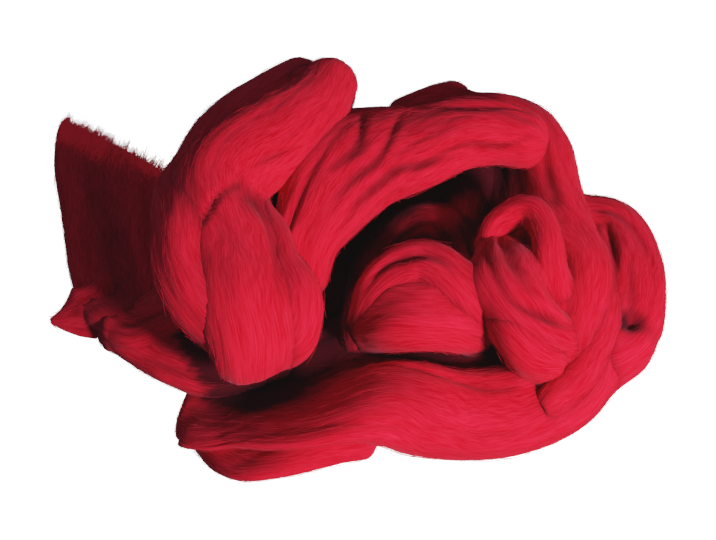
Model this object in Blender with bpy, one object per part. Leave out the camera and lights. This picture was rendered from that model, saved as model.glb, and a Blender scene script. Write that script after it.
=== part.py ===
"""A loose heap of combed wool roving, dyed red.

One thick, untwisted rope of wool lies in loops and folds over itself on a flat surface. Each stretch
of it is a soft roll carried along a path, and the rolls are joined into one solid, because they are
one rope pressing on itself. The left end lies flat and is torn off, and the locks along the tear stand
on a narrow strip of their own. Origin: on the surface, under the middle of the heap's box. +X right,
+Y back, +Z up.
"""

import math
from collections import namedtuple

import bmesh
import bpy
import numpy as np

MM = 0.001
GAP = 0.3 * MM  # clearance between two pieces that meet
BAND_STEP = 10.9 * MM  # spacing of the rings along a wide roll, a narrow one and one underneath
ROLL_STEP = 7.0 * MM
UNDERLAYER_STEP = 13.0 * MM
POINTS_AROUND_BAND = 14
POINTS_AROUND_ROLL = 12
BAND_FROM = 28.0  # a roll wider than this, in mm, takes the finer ring
SQUARENESS = 0.88  # power on the ring's sine and cosine: 1 is an ellipse, less is fuller at the corners
SHEET_RINGS = 13  # sections of the flat torn end
GROUND_SIZE = 0.6
GROUND_DEPTH = 0.1

STRIP_INSET = 0.06  # share of the torn edge left bare at each end of the strip
STRIP_DEPTH = 2.0 * MM
LOCK_COLUMNS = 34
LOCK_ROWS = 2
LOCK_PARTING = 0.1 * MM  # bare strip around each lock's root
LOCK_LENGTH = (4.0 * MM, 8.0 * MM)
LOCK_SWAY = 1.2 * MM  # how far a tip leans along the tear
LOCK_SAG = (0.75, 1.05)  # share of its height that a tip keeps

CAP_ANGLES = (30, 60)  # rings between a roll's last section and its closing point, in degrees
AXIS_SMOOTHING = 3  # rings each way over which a roll's width axis is averaged

# Middle of the heap's box in the tables' own coordinates. The finished pieces move it to the origin.
HEAP_MIDDLE = np.array((-6.0, 8.4, 0.0)) * MM

WOOL_RED = (0.62, 0.012, 0.035, 1.0)
WOOL_ROUGHNESS = 0.85

# Middle of the section in mm, its width and thickness in mm, and its lean in degrees: how far the
# side to the right of the path is raised.
Section = namedtuple("Section", "x y z wide thick lean")


def table(*rows):
    return [Section(*row) for row in rows]


# The rope as it lies, one table for each stretch, front to back and bottom to top.
STRETCHES = {
    "front_band": table(
        (-78, -63, 5, 36, 8, 12),
        (-73, -64, 6, 45, 8, 16),
        (-66, -67, 8, 52, 8, 20),
        (-52, -70, 12, 54, 8, 24),
        (-35, -74, 19, 56, 9, 25),
        (-18, -78, 26, 55, 11, 26),
        (-4, -77, 29, 52, 16, 24),
        (10, -75, 28, 47, 24, 12),
        (26, -74, 23, 43, 32, -6),
        (45, -73, 17, 41, 34, -18),
        (64, -71, 16, 41, 32, -22),
        (82, -65, 16, 40, 31, -22),
        (98, -54, 17, 38, 30, -14),
        (105, -39, 21, 34, 30, 0),
        (108, -23, 23, 31, 28, 0),
        (108, -11, 22, 27, 26, 0),
    ),
    "under_flap": table(
        (-69, -80, 6, 14, 11, 8),
        (-60, -85, 8, 28, 11, 18),
        (-48, -90, 12, 38, 11, 22),
        (-37, -93, 17, 38, 11, 22),
        (-24, -92, 21, 32, 11, 16),
        (-11, -90, 23, 26, 12, 6),
        (2, -89, 22, 20, 12, 0),
    ),
    "outer_band": table(
        (29, 88, 34, 28, 28, 0),
        (56, 86, 38, 31, 30, -8),
        (77, 80, 40, 34, 28, -24),
        (88, 64, 40, 35, 28, -34),
        (90, 44, 38, 36, 28, -34),
        (92, 25, 37, 38, 29, -22),
        (95, 8, 37, 40, 31, -8),
        (100, -7, 37, 38, 32, 0),
        (101, -17, 35, 35, 31, 0),
        (102, -20, 29, 30, 28, 0),
        (103, -18, 21, 24, 24, 0),
    ),
    "right_loop": table(
        (103, 44, 13, 22, 24, 0),
        (113, 43, 14, 24, 26, 0),
        (124, 37, 15, 28, 30, 6),
        (129, 23, 16, 33, 31, 16),
        (129, 2, 17, 34, 32, 20),
        (127, -19, 17, 34, 33, 14),
        (120, -35, 17, 34, 33, 4),
        (109, -42, 16, 30, 30, 0),
        (99, -41, 15, 28, 28, 0),
    ),
    "top_band": table(
        (78, 55, 62, 28, 26, -12),
        (65, 58, 63, 33, 28, -20),
        (45, 56, 63, 42, 29, -26),
        (25, 49, 62, 49, 31, -20),
        (7, 42, 62, 49, 32, -6),
        (-9, 26, 61, 45, 31, 6),
        (-19, 10, 58, 39, 29, 8),
        (-24, -4, 52, 29, 26, 5),
        (-25, -11, 42, 25, 24, 0),
    ),
    "loop_band": table(
        (-14, 84, 68, 27, 27, 8),
        (-22, 66, 71, 33, 29, 14),
        (-38, 45, 74, 39, 31, 18),
        (-54, 29, 74, 42, 31, 21),
        (-63, 13, 74, 42, 31, 23),
        (-58, -12, 73, 38, 31, 24),
        (-52, -38, 71, 40, 29, 22),
        (-47, -52, 69, 42, 27, 14),
        (-45, -60, 62, 45, 25, 2),
        (-43, -58, 52, 42, 24, 0),
        (-42, -43, 40, 36, 24, 0),
        (-42, -24, 26, 30, 24, 0),
    ),
    "left_roll": table(
        (-25, 104, 52, 40, 18, -24),
        (-44, 91, 51, 50, 16, -29),
        (-60, 74, 51, 48, 17, -31),
        (-70, 49, 55, 37, 20, -25),
        (-79, 11, 66, 32, 26, 4),
        (-78, -16, 76, 28, 26, 24),
        (-76, -37, 74, 27, 26, 28),
        (-67, -51, 68, 26, 25, 16),
        (-61, -53, 58, 24, 23, 0),
        (-58, -44, 47, 22, 20, 0),
    ),
    "right_roll": table(
        (-43, 4, 64, 10, 16, 0),
        (-37, -12, 65, 13, 18, 0),
        (-31, -30, 66, 16, 18, 0),
        (-24, -43, 64, 18, 19, 0),
        (-21, -47, 58, 18, 19, 0),
        (-21, -42, 47, 16, 18, 0),
    ),
    "tent_outer": table(
        (-1, -34, 22, 14, 20, 0),
        (2, -14, 22, 18, 22, 0),
        (9, 7, 23, 21, 22, 0),
        (20, 23, 24, 23, 22, 0),
        (34, 30, 25, 24, 22, 0),
        (44, 20, 26, 22, 22, 0),
        (51, 2, 28, 18, 20, 0),
        (56, -20, 30, 15, 18, 0),
        (58, -33, 30, 14, 18, 0),
    ),
    "tent_middle": table(
        (4, -31, 36, 12, 16, 0),
        (7, -28, 46, 18, 19, 0),
        (15, -20, 53, 24, 22, 0),
        (30, -15, 56, 28, 24, 0),
        (40, -26, 56, 25, 23, 0),
        (47, -35, 51, 20, 22, 0),
        (53, -40, 42, 15, 20, 0),
    ),
    "tent_body": table(
        (6, -33, 26, 18, 20, 0),
        (13, -38, 39, 26, 25, 0),
        (22, -40, 47, 31, 28, 0),
        (37, -40, 47, 31, 28, 0),
        (47, -40, 41, 26, 25, 0),
        (55, -36, 28, 17, 20, 0),
    ),
    "inner_drop": table(
        (57, 76, 32, 20, 18, 0),
        (56, 56, 30, 21, 18, 0),
        (52, 38, 28, 20, 18, 0),
        (50, 19, 26, 20, 18, 0),
    ),
    "back_wall": table(
        (80, 79, 28, 34, 20, 0),
        (80, 60, 26, 34, 20, 0),
        (81, 38, 25, 34, 22, 0),
    ),
    "hook": table(
        (60, 5, 46, 5, 10, 0),
        (64, 8, 50, 10, 13, 0),
        (70, 11, 54, 13, 15, 0),
        (78, 12, 57, 16, 16, 0),
        (84, 4, 58, 17, 16, 0),
        (86, -7, 57, 16, 16, 0),
        (88, -16, 53, 14, 16, 0),
        (91, -23, 47, 12, 14, 0),
    ),
    "inner_fold": table(
        (69, 4, 49, 24, 18, 4),
        (67, -13, 56, 33, 23, 8),
        (68, -30, 57, 33, 25, 10),
        (73, -41, 54, 29, 25, 8),
        (80, -46, 48, 26, 24, 4),
        (86, -47, 40, 24, 22, 0),
        (91, -44, 30, 20, 20, 0),
    ),
    "fold_lobe": table(
        (63, -39, 48, 8, 14, 0),
        (65, -48, 50, 13, 18, 0),
        (70, -56, 49, 16, 20, 0),
        (76, -60, 45, 17, 20, 0),
        (83, -59, 38, 14, 18, 0),
    ),
    "side_ridge": table(
        (112, 2, 34, 10, 14, 0),
        (113, -16, 33, 12, 16, 0),
        (112, -35, 31, 13, 18, 0),
        (106, -50, 29, 13, 18, 0),
        (98, -63, 28, 13, 16, 0),
        (88, -72, 28, 11, 14, 0),
    ),
    "end_lip": table(
        (-146, -11, 4, 5, 4, -15),
        (-140, -12, 6, 13, 6, -18),
        (-133, -12, 9, 23, 7, -22),
        (-126, -10, 12, 28, 8, -25),
        (-120, -8, 14, 27, 8, -28),
    ),
    "end_roll": table(
        (-121, -11, 10, 16, 10, 6),
        (-112, -17, 13, 22, 12, 14),
        (-102, -23, 17, 28, 13, 18),
        (-92, -20, 21, 30, 14, 20),
        (-82, -17, 27, 30, 14, 20),
        (-73, -15, 34, 28, 14, 18),
    ),
    "under_turn": table(
        (-119, -21, 8, 8, 10, 0),
        (-109, -28, 9, 14, 13, 0),
        (-99, -32, 10, 22, 15, 0),
        (-87, -36, 12, 30, 16, 0),
        (-76, -41, 13, 31, 16, 0),
        (-64, -44, 14, 31, 16, 0),
        (-51, -41, 15, 28, 16, 0),
    ),
    "back_peek": table(
        (21, 93, 44, 14, 14, 0),
        (35, 94, 48, 15, 15, 0),
        (47, 95, 49, 15, 15, 0),
    ),
}

# The rope underneath, which holds the loops up.
UNDERLAYERS = {
    "base_back": table(
        (-80, 34, 15, 40, 32, 0),
        (-62, 64, 15, 46, 33, 0),
        (-20, 86, 15, 48, 33, 0),
        (28, 90, 15, 48, 33, 0),
        (70, 80, 15, 44, 33, 0),
        (90, 46, 15, 42, 33, 0),
        (98, 4, 15, 42, 33, 0),
        (92, -34, 15, 40, 32, 0),
    ),
    "base_left": table(
        (-58, -32, 13, 34, 26, 0),
        (-70, -14, 15, 42, 31, 0),
        (-74, 12, 16, 46, 34, 0),
        (-60, 38, 16, 46, 34, 0),
    ),
    "base_middle": table(
        (-40, -40, 11, 44, 24, 0),
        (-30, 6, 11, 52, 24, 0),
        (14, 18, 11, 58, 24, 0),
        (58, 18, 14, 54, 30, 0),
        (76, -16, 14, 52, 30, 0),
        (44, -40, 11, 50, 24, 0),
        (6, -38, 11, 50, 24, 0),
        (-22, -44, 11, 42, 24, 0),
    ),
    "loop_return": table(
        (-42, -36, 40, 36, 28, 0),
        (-62, -8, 41, 42, 30, 0),
        (-58, 24, 42, 44, 30, 0),
        (-42, 56, 42, 44, 30, 0),
        (-26, 82, 44, 38, 28, 0),
        (-19, 90, 54, 34, 26, 0),
    ),
    "top_return": table(
        (-14, 44, 18, 36, 28, 0),
        (20, 56, 18, 38, 30, 0),
        (58, 60, 18, 36, 30, 0),
        (80, 52, 30, 30, 26, 0),
    ),
}

# The flat torn end in mm: where the left and right edges of each section lie, the height of its
# underside, and its thickness, from the tear to where it goes under the loops.
SheetRow = namedtuple("SheetRow", "left_x left_y right_x right_y bottom thick")
TORN_SHEET = [
    SheetRow(-157, 121, -102, 85, 0, 5),
    SheetRow(-158, 117, -101, 82, -1, 7),
    SheetRow(-158, 95, -99, 75, -1, 10),
    SheetRow(-151, 61, -96, 54, -1, 12),
    SheetRow(-144, 27, -93, 27, -1, 13),
    SheetRow(-137, 3, -90, 3, -1, 15),
    SheetRow(-129, -14, -88, -15, 2, 18),
]


def clear_scene():
    for obj in list(bpy.data.objects):
        bpy.data.objects.remove(obj)


def wool_material():
    material = bpy.data.materials.new("red_wool")
    material.use_nodes = True
    shader = material.node_tree.nodes["Principled BSDF"]
    shader.inputs["Base Color"].default_value = WOOL_RED
    shader.inputs["Roughness"].default_value = WOOL_ROUGHNESS
    return material


def natural_spline(knots, values, at):
    """The smooth curve through the values at the knots whose bending is zero at both ends."""
    count = len(knots)
    width = np.diff(knots)
    system = np.eye(count)
    slopes = np.zeros(values.shape)
    rises = np.diff(values, axis=0) / width[:, None]
    for i in range(1, count - 1):
        system[i, i - 1 : i + 2] = width[i - 1], 2 * (width[i - 1] + width[i]), width[i]
        slopes[i] = 6 * (rises[i] - rises[i - 1])
    bend = np.linalg.solve(system, slopes)
    piece = np.clip(np.searchsorted(knots, at, side="right") - 1, 0, count - 2)
    after = (at - knots[piece])[:, None]
    before = (knots[piece + 1] - at)[:, None]
    span = width[piece][:, None]
    return (
        (bend[piece] * before**3 + bend[piece + 1] * after**3) / (6 * span)
        + (values[piece] / span - bend[piece] * span / 6) * before
        + (values[piece + 1] / span - bend[piece + 1] * span / 6) * after
    )


def sections_along(rows, step):
    """Centres, widths, thicknesses and leans of a roll at even steps along it, in metres and radians."""
    points = np.array(rows, float)
    points[:, :5] *= MM
    points[:, 5] = np.radians(points[:, 5])
    knots = np.concatenate([[0], np.cumsum(np.linalg.norm(np.diff(points[:, :3], axis=0), axis=1))])
    at = np.linspace(0, knots[-1], max(4, round(knots[-1] / step) + 1))
    smooth = natural_spline(knots, points, at)
    return smooth[:, :3], smooth[:, 3], smooth[:, 4], smooth[:, 5]


def unit(vectors):
    return vectors / np.linalg.norm(vectors, axis=-1, keepdims=True)


def frames_along(centres, leans):
    """Along, width and thickness directions of each ring. The width axis is level and square to the
    path, keeps its side where the path turns over, and is then turned by the lean."""
    along = unit(np.gradient(centres, axis=0))
    level = np.cross(along, (0.0, 0.0, 1.0))
    for i in range(1, len(level)):
        if level[i] @ level[i - 1] < 0:
            level[i] = -level[i]
    padded = np.pad(level, ((AXIS_SMOOTHING, AXIS_SMOOTHING), (0, 0)), mode="edge")
    level = sum(padded[i : i + len(level)] for i in range(2 * AXIS_SMOOTHING + 1))
    level = unit(level - along * (level * along).sum(axis=1, keepdims=True))
    upright = np.cross(level, along)
    cosine, sine = np.cos(leans)[:, None], np.sin(leans)[:, None]
    return along, level * cosine + upright * sine, upright * cosine - level * sine


def ring_shape(count):
    """A rounded rectangle of width and thickness 2, as pairs of shares of the two half sizes."""
    angles = np.arange(count) * 2 * math.pi / count
    cosine, sine = np.cos(angles), np.sin(angles)
    return (
        np.sign(cosine) * np.abs(cosine) ** SQUARENESS,
        np.sign(sine) * np.abs(sine) ** SQUARENESS,
    )


def roll_rings(rows, step, count):
    """Every ring of a roll as an array of points, with the rings of its rounded ends, and the two
    points that close it."""
    centres, wides, thicks, leans = sections_along(rows, step)
    along, across, over = frames_along(centres, leans)
    side, top = ring_shape(count)

    def ring(index, share, offset):
        centre = centres[index] + along[index] * offset
        return (
            centre
            + np.outer(side, across[index]) * wides[index] / 2 * share
            + np.outer(top, over[index]) * thicks[index] / 2 * share
        )

    reach = thicks[0] / 2, thicks[-1] / 2
    angles = [math.radians(angle) for angle in CAP_ANGLES]
    rings = [ring(0, math.cos(a), -reach[0] * math.sin(a)) for a in reversed(angles)]
    rings += [ring(i, 1, 0) for i in range(len(centres))]
    rings += [ring(-1, math.cos(a), reach[1] * math.sin(a)) for a in angles]
    return rings, centres[0] - along[0] * reach[0], centres[-1] + along[-1] * reach[1]


def mesh_object(name, mesh):
    """The object of a finished bmesh, which it frees."""
    bmesh.ops.recalc_face_normals(mesh, faces=mesh.faces)
    data = bpy.data.meshes.new(name)
    mesh.to_mesh(data)
    mesh.free()
    obj = bpy.data.objects.new(name, data)
    bpy.context.scene.collection.objects.link(obj)
    return obj


def skin_rings(name, rings, first_tip, last_tip):
    """A closed object of rings bridged in turn, with a fan of triangles to a point at each end."""
    mesh = bmesh.new()
    loops = [[mesh.verts.new(point) for point in ring] for ring in rings]
    start, end = mesh.verts.new(first_tip), mesh.verts.new(last_tip)
    count = len(loops[0])
    for a, b in zip(loops, loops[1:]):
        for i in range(count):
            mesh.faces.new((a[i], a[(i + 1) % count], b[(i + 1) % count], b[i]))
    for i in range(count):
        mesh.faces.new((start, loops[0][(i + 1) % count], loops[0][i]))
        mesh.faces.new((end, loops[-1][i], loops[-1][(i + 1) % count]))
    return mesh_object(name, mesh)


def roll(name, rows):
    """One stretch of the rope, with rings as close and as fine as its width needs."""
    if name in UNDERLAYERS:
        return skin_rings(name, *roll_rings(rows, UNDERLAYER_STEP, POINTS_AROUND_ROLL))
    if max(row.wide for row in rows) > BAND_FROM:
        return skin_rings(name, *roll_rings(rows, BAND_STEP, POINTS_AROUND_BAND))
    return skin_rings(name, *roll_rings(rows, ROLL_STEP, POINTS_AROUND_ROLL))


def torn_sheet():
    """The flat end of the rope, its section carried from the torn edge to where it goes under."""
    rows = np.array(TORN_SHEET, float) * MM
    knots = np.arange(len(rows), dtype=float)
    rows = natural_spline(knots, rows, np.linspace(0, len(rows) - 1, SHEET_RINGS))
    left, right = rows[:, 0:2], rows[:, 2:4]
    side, top = ring_shape(POINTS_AROUND_BAND)
    rings = []
    for i, (middle, half) in enumerate(zip((left + right) / 2, (right - left) / 2)):
        bottom, thick = rows[i, 4], rows[i, 5]
        flat = middle + np.outer(side, half)
        height = bottom + thick / 2 + top * thick / 2
        rings.append(np.column_stack([flat, height]))
    return skin_rings("torn_sheet", rings, rings[0].mean(axis=0), rings[-1].mean(axis=0))


def torn_fringe():
    """Wool locks along the tear, each a four-sided spike raised from one cell of a narrow strip."""
    left = np.array(TORN_SHEET[0][0:2]) * MM
    right = np.array(TORN_SHEET[0][2:4]) * MM
    along = right - left
    length = np.linalg.norm(along)
    along /= length
    outward = np.array((-along[1], along[0]))
    if outward[1] < 0:
        outward = -outward
    bottom, thick = TORN_SHEET[0][4] * MM, TORN_SHEET[0][5] * MM
    mesh = bmesh.new()

    def corner(share, height, depth):
        point = left + along * length * share + outward * (GAP + depth)
        return mesh.verts.new((point[0], point[1], height))

    shares = np.linspace(STRIP_INSET, 1 - STRIP_INSET, LOCK_COLUMNS + 1)
    heights = bottom + thick * np.linspace(STRIP_INSET, 1 - STRIP_INSET, LOCK_ROWS + 1)
    front = [[corner(s, h, STRIP_DEPTH) for s in shares] for h in heights]
    back = [[corner(s, h, 0) for s in shares] for h in heights]
    cells = []
    for j in range(LOCK_ROWS):
        for i in range(LOCK_COLUMNS):
            a, b, c, d = (j, i), (j, i + 1), (j + 1, i + 1), (j + 1, i)
            cells.append(mesh.faces.new([front[r][s] for r, s in (a, b, c, d)]))
            mesh.faces.new([back[r][s] for r, s in (d, c, b, a)])
    for i in range(LOCK_COLUMNS):
        for j in (0, LOCK_ROWS):
            mesh.faces.new((front[j][i], front[j][i + 1], back[j][i + 1], back[j][i]))
    for j in range(LOCK_ROWS):
        for i in (0, LOCK_COLUMNS):
            mesh.faces.new((front[j][i], front[j + 1][i], back[j + 1][i], back[j][i]))
    mesh.normal_update()
    bmesh.ops.inset_individual(mesh, faces=cells, thickness=LOCK_PARTING)
    tips = bmesh.ops.poke(mesh, faces=cells)["verts"]
    rng = np.random.default_rng(3)
    for tip in tips:
        reach = rng.uniform(*LOCK_LENGTH)
        sway = rng.uniform(-1, 1) * LOCK_SWAY
        tip.co.x += outward[0] * reach + along[0] * sway
        tip.co.y += outward[1] * reach + along[1] * sway
        tip.co.z *= rng.uniform(*LOCK_SAG)
    return mesh_object("torn_fringe", mesh)


def join_by_boolean(target, operation, others):
    """Adds a Boolean of a collection of other objects, which are then only guides."""
    group = bpy.data.collections.new(operation.lower())
    bpy.context.scene.collection.children.link(group)
    for other in others:
        bpy.context.scene.collection.objects.unlink(other)
        group.objects.link(other)
        other.hide_render = True
        other.display_type = "WIRE"
    modifier = target.modifiers.new(operation.lower(), "BOOLEAN")
    modifier.operation = operation
    modifier.operand_type = "COLLECTION"
    modifier.collection = group
    modifier.solver = "EXACT"


def ground_box():
    """A block whose top is the surface that the rope lies on."""
    mesh = bmesh.new()
    bmesh.ops.create_cube(mesh, size=1.0)
    for vert in mesh.verts:
        vert.co.x *= GROUND_SIZE
        vert.co.y *= GROUND_SIZE
        vert.co.z = (vert.co.z - 0.5) * GROUND_DEPTH
    return mesh_object("ground", mesh)


def outer_shell(obj):
    """The evaluated object without the closed pockets that the joined rolls leave inside it."""
    depsgraph = bpy.context.evaluated_depsgraph_get()
    data = bpy.data.meshes.new_from_object(obj.evaluated_get(depsgraph))
    mesh = bmesh.new()
    mesh.from_mesh(data)
    bpy.data.meshes.remove(data)
    bmesh.ops.triangulate(mesh, faces=mesh.faces)
    shells = []
    unseen = set(mesh.faces)
    while unseen:
        shell = set()
        queue = [unseen.pop()]
        while queue:
            face = queue.pop()
            shell.add(face)
            for edge in face.edges:
                for other in edge.link_faces:
                    if other in unseen:
                        unseen.discard(other)
                        queue.append(other)
        shells.append(shell)
    outer = max(shells, key=len)
    spare = [face for face in mesh.faces if face not in outer]
    bmesh.ops.delete(mesh, geom=spare, context="FACES")
    return mesh


def main():
    clear_scene()
    wool = wool_material()
    rolls = [roll(name, rows) for name, rows in (STRETCHES | UNDERLAYERS).items()]
    rolls.append(torn_sheet())
    join_by_boolean(rolls[0], "UNION", rolls[1:])
    join_by_boolean(rolls[0], "DIFFERENCE", [ground_box()])
    roving = mesh_object("roving", outer_shell(rolls[0]))
    for obj in list(bpy.data.objects):
        if obj is not roving:
            bpy.data.objects.remove(obj)
    roving.data.materials.append(wool)
    fringe = torn_fringe()
    fringe.data.materials.append(wool)
    for obj in (roving, fringe):
        obj.location = -HEAP_MIDDLE
        obj.data.shade_smooth()


main()
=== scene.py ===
import math
from collections import namedtuple

import bpy
import numpy as np
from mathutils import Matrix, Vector


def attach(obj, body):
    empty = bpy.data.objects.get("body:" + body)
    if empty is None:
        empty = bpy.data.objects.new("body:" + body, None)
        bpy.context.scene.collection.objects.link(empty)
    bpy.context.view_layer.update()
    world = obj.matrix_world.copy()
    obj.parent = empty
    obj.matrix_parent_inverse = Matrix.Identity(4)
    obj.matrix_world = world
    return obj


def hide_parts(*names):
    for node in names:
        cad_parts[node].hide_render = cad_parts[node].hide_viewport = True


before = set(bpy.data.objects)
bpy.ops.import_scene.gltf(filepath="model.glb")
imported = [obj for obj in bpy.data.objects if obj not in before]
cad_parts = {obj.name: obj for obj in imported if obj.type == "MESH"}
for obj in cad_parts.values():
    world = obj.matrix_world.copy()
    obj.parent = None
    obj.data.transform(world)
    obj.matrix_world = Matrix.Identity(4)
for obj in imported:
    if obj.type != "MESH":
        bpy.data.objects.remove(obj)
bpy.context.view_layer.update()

# -----------------------------------------------------------------------------
# Floor, lights and camera
# A sheet of white paper under the wool, one studio lamp to the front right, and a weak, cool fill
# from the room, so that the furrows and the hollow stay dark.
# -----------------------------------------------------------------------------

MM = 0.001

# Middle of the heap's box in the coordinates in which the rope's tables are written.
HEAP_MIDDLE = np.array((-6.0, 8.4, 0.0)) * MM

CAMERA_ELEVATION = math.radians(52)
CAMERA_DISTANCE = 0.80
CAMERA_LENS = 85
CAMERA_SENSOR = 36
LOOK_AT = np.array((0.0, 0.0, 0.030)) - HEAP_MIDDLE

LAMP_TOWARDS = (0.57, -0.68, 0.46)
LAMP_DISTANCE = 1.1
LAMP_SIZE = 0.16
LAMP_POWER = 18.5
FILL_COLOUR = (0.70, 0.84, 1.0, 1.0)
FILL_STRENGTH = 0.185

# The response of the film: bright red levels off well before white. Scene light goes from 0 to
# FILM_WHITE; each pair is a share of that and the share of white shown for it. Stray light from the
# white paper lifts black by FILM_VEIL.
FILM_WHITE = 2.0
FILM_VEIL = 0.0042
FILM_RESPONSE = (
    (0.1, 0.2),
    (0.225, 0.43),
    (0.35, 0.60),
    (0.5, 0.71),
    (0.62, 0.77),
    (0.75, 0.87),
    (0.9, 0.97),
)

# The paper shows white to the camera by a glow of its own, and lights the wool only as a grey floor.
FLOOR_SIZE = 3.0
FLOOR_COLOUR = (0.22, 0.22, 0.22, 1.0)
FLOOR_ROUGHNESS = 0.9
FLOOR_GLOW = 2.05
WHITE = (1.0, 1.0, 1.0, 1.0)


def add_object(name, data):
    """A new object at the origin, linked into the scene."""
    obj = bpy.data.objects.new(name, data)
    bpy.context.scene.collection.objects.link(obj)
    return obj


def look_along(obj, place, direction):
    """Puts an object at a place with its own -Z along a direction and its Y upwards."""
    obj.location = place
    obj.rotation_mode = "QUATERNION"
    obj.rotation_quaternion = Vector(direction).to_track_quat("-Z", "Y")


camera = add_object("camera", bpy.data.cameras.new("camera"))
camera.data.lens = CAMERA_LENS
camera.data.sensor_width = CAMERA_SENSOR
backwards = np.array((0.0, -math.cos(CAMERA_ELEVATION), math.sin(CAMERA_ELEVATION)))
look_along(camera, LOOK_AT + backwards * CAMERA_DISTANCE, -backwards)
bpy.context.scene.camera = camera

lamp = add_object("lamp", bpy.data.lights.new("lamp", "AREA"))
lamp.data.size = LAMP_SIZE
lamp.data.energy = LAMP_POWER
towards = np.array(LAMP_TOWARDS) / np.linalg.norm(LAMP_TOWARDS)
look_along(lamp, towards * LAMP_DISTANCE, -towards)

room = bpy.data.worlds.new("room")
room.use_nodes = True
room.node_tree.nodes["Background"].inputs["Color"].default_value = FILL_COLOUR
room.node_tree.nodes["Background"].inputs["Strength"].default_value = FILL_STRENGTH
bpy.context.scene.world = room

view = bpy.context.scene.view_settings
view.view_transform = "Standard"
view.use_curve_mapping = True
film = view.curve_mapping
film.white_level = (FILM_WHITE, FILM_WHITE, FILM_WHITE)
all_colours = film.curves[3]
all_colours.points[0].location = (0.0, FILM_VEIL)
for scene_share, shown_share in FILM_RESPONSE:
    all_colours.points.new(scene_share, shown_share)
film.update()

floor_mesh = bpy.data.meshes.new("floor")
half = FLOOR_SIZE / 2
floor_mesh.from_pydata(
    [(-half, -half, 0), (half, -half, 0), (half, half, 0), (-half, half, 0)], [], [(0, 1, 2, 3)]
)
paper = bpy.data.materials.new("white_paper")
paper.use_nodes = True
paper_shader = paper.node_tree.nodes["Principled BSDF"]
paper_shader.inputs["Base Color"].default_value = FLOOR_COLOUR
paper_shader.inputs["Roughness"].default_value = FLOOR_ROUGHNESS
paper_shader.inputs["Emission Color"].default_value = WHITE
seen = paper.node_tree.nodes.new("ShaderNodeLightPath")
glow = paper.node_tree.nodes.new("ShaderNodeMath")
glow.operation = "MULTIPLY"
glow.inputs[1].default_value = FLOOR_GLOW
paper.node_tree.links.new(seen.outputs["Is Camera Ray"], glow.inputs[0])
paper.node_tree.links.new(glow.outputs[0], paper_shader.inputs["Emission Strength"])
floor_mesh.materials.append(paper)
add_object("floor", floor_mesh)

# -----------------------------------------------------------------------------
# Red combed wool
# Fine merino fibre, dyed in the rope: all of it runs along the rope, so the surface is drawn out in
# streaks of paler and deeper red, with a soft, matt sheen. Shade is painted into its colour, nearly
# black deep in the heap, in the furrows and where turns touch.
# -----------------------------------------------------------------------------

# Colours of the low and the high tufts, of a deep and a pale single fibre, and of painted shade in
# hollows.
TUFT_LOW = (0.490, 0.0016, 0.0110, 1.0)
TUFT_HIGH = (0.705, 0.0118, 0.0345, 1.0)
FIBRE_DEEP = (0.400, 0.0015, 0.0110, 1.0)
FIBRE_PALE = (0.705, 0.0172, 0.0450, 1.0)
PAINTED_SHADE_RED = (0.036, 0.0030, 0.0060, 1.0)
SHEEN_TINT = (1.0, 0.35, 0.52, 1.0)
SHEEN_ROUGHNESS = 0.45
WOOL_ROUGHNESS = 0.72

# Mask values between which the tufts and the single fibres turn from the deeper to the paler colour,
# and the single fibres' share in the mix of the two.
TUFT_RANGE = (0.36, 0.60)
FIBRE_RANGE = (0.34, 0.66)
FIBRE_SHARE = 0.6

# The waves in a metre of the slow noise that bends the streaks, along the fibres and across them; the
# height of the streaks in the bump, fine and broad; and the bump's full depth.
SWAY_ALONG, SWAY_ACROSS = 34.0, 60.0
FINE_HEIGHT, TUFT_HEIGHT = 0.40, 0.30
STREAK_DEPTH = 0.0009

# A Mix node's sockets for its two colours and their mix.
MIX_FIRST, MIX_SECOND, MIX_RESULT = 6, 7, 2


def add_node(tree, kind, **values):
    """A new node, with each value given to the socket or the setting of its name."""
    node = tree.nodes.new(kind)
    for name, value in values.items():
        if name in node.inputs:
            node.inputs[name].default_value = value
        else:
            setattr(node, name, value)
    return node


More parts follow.
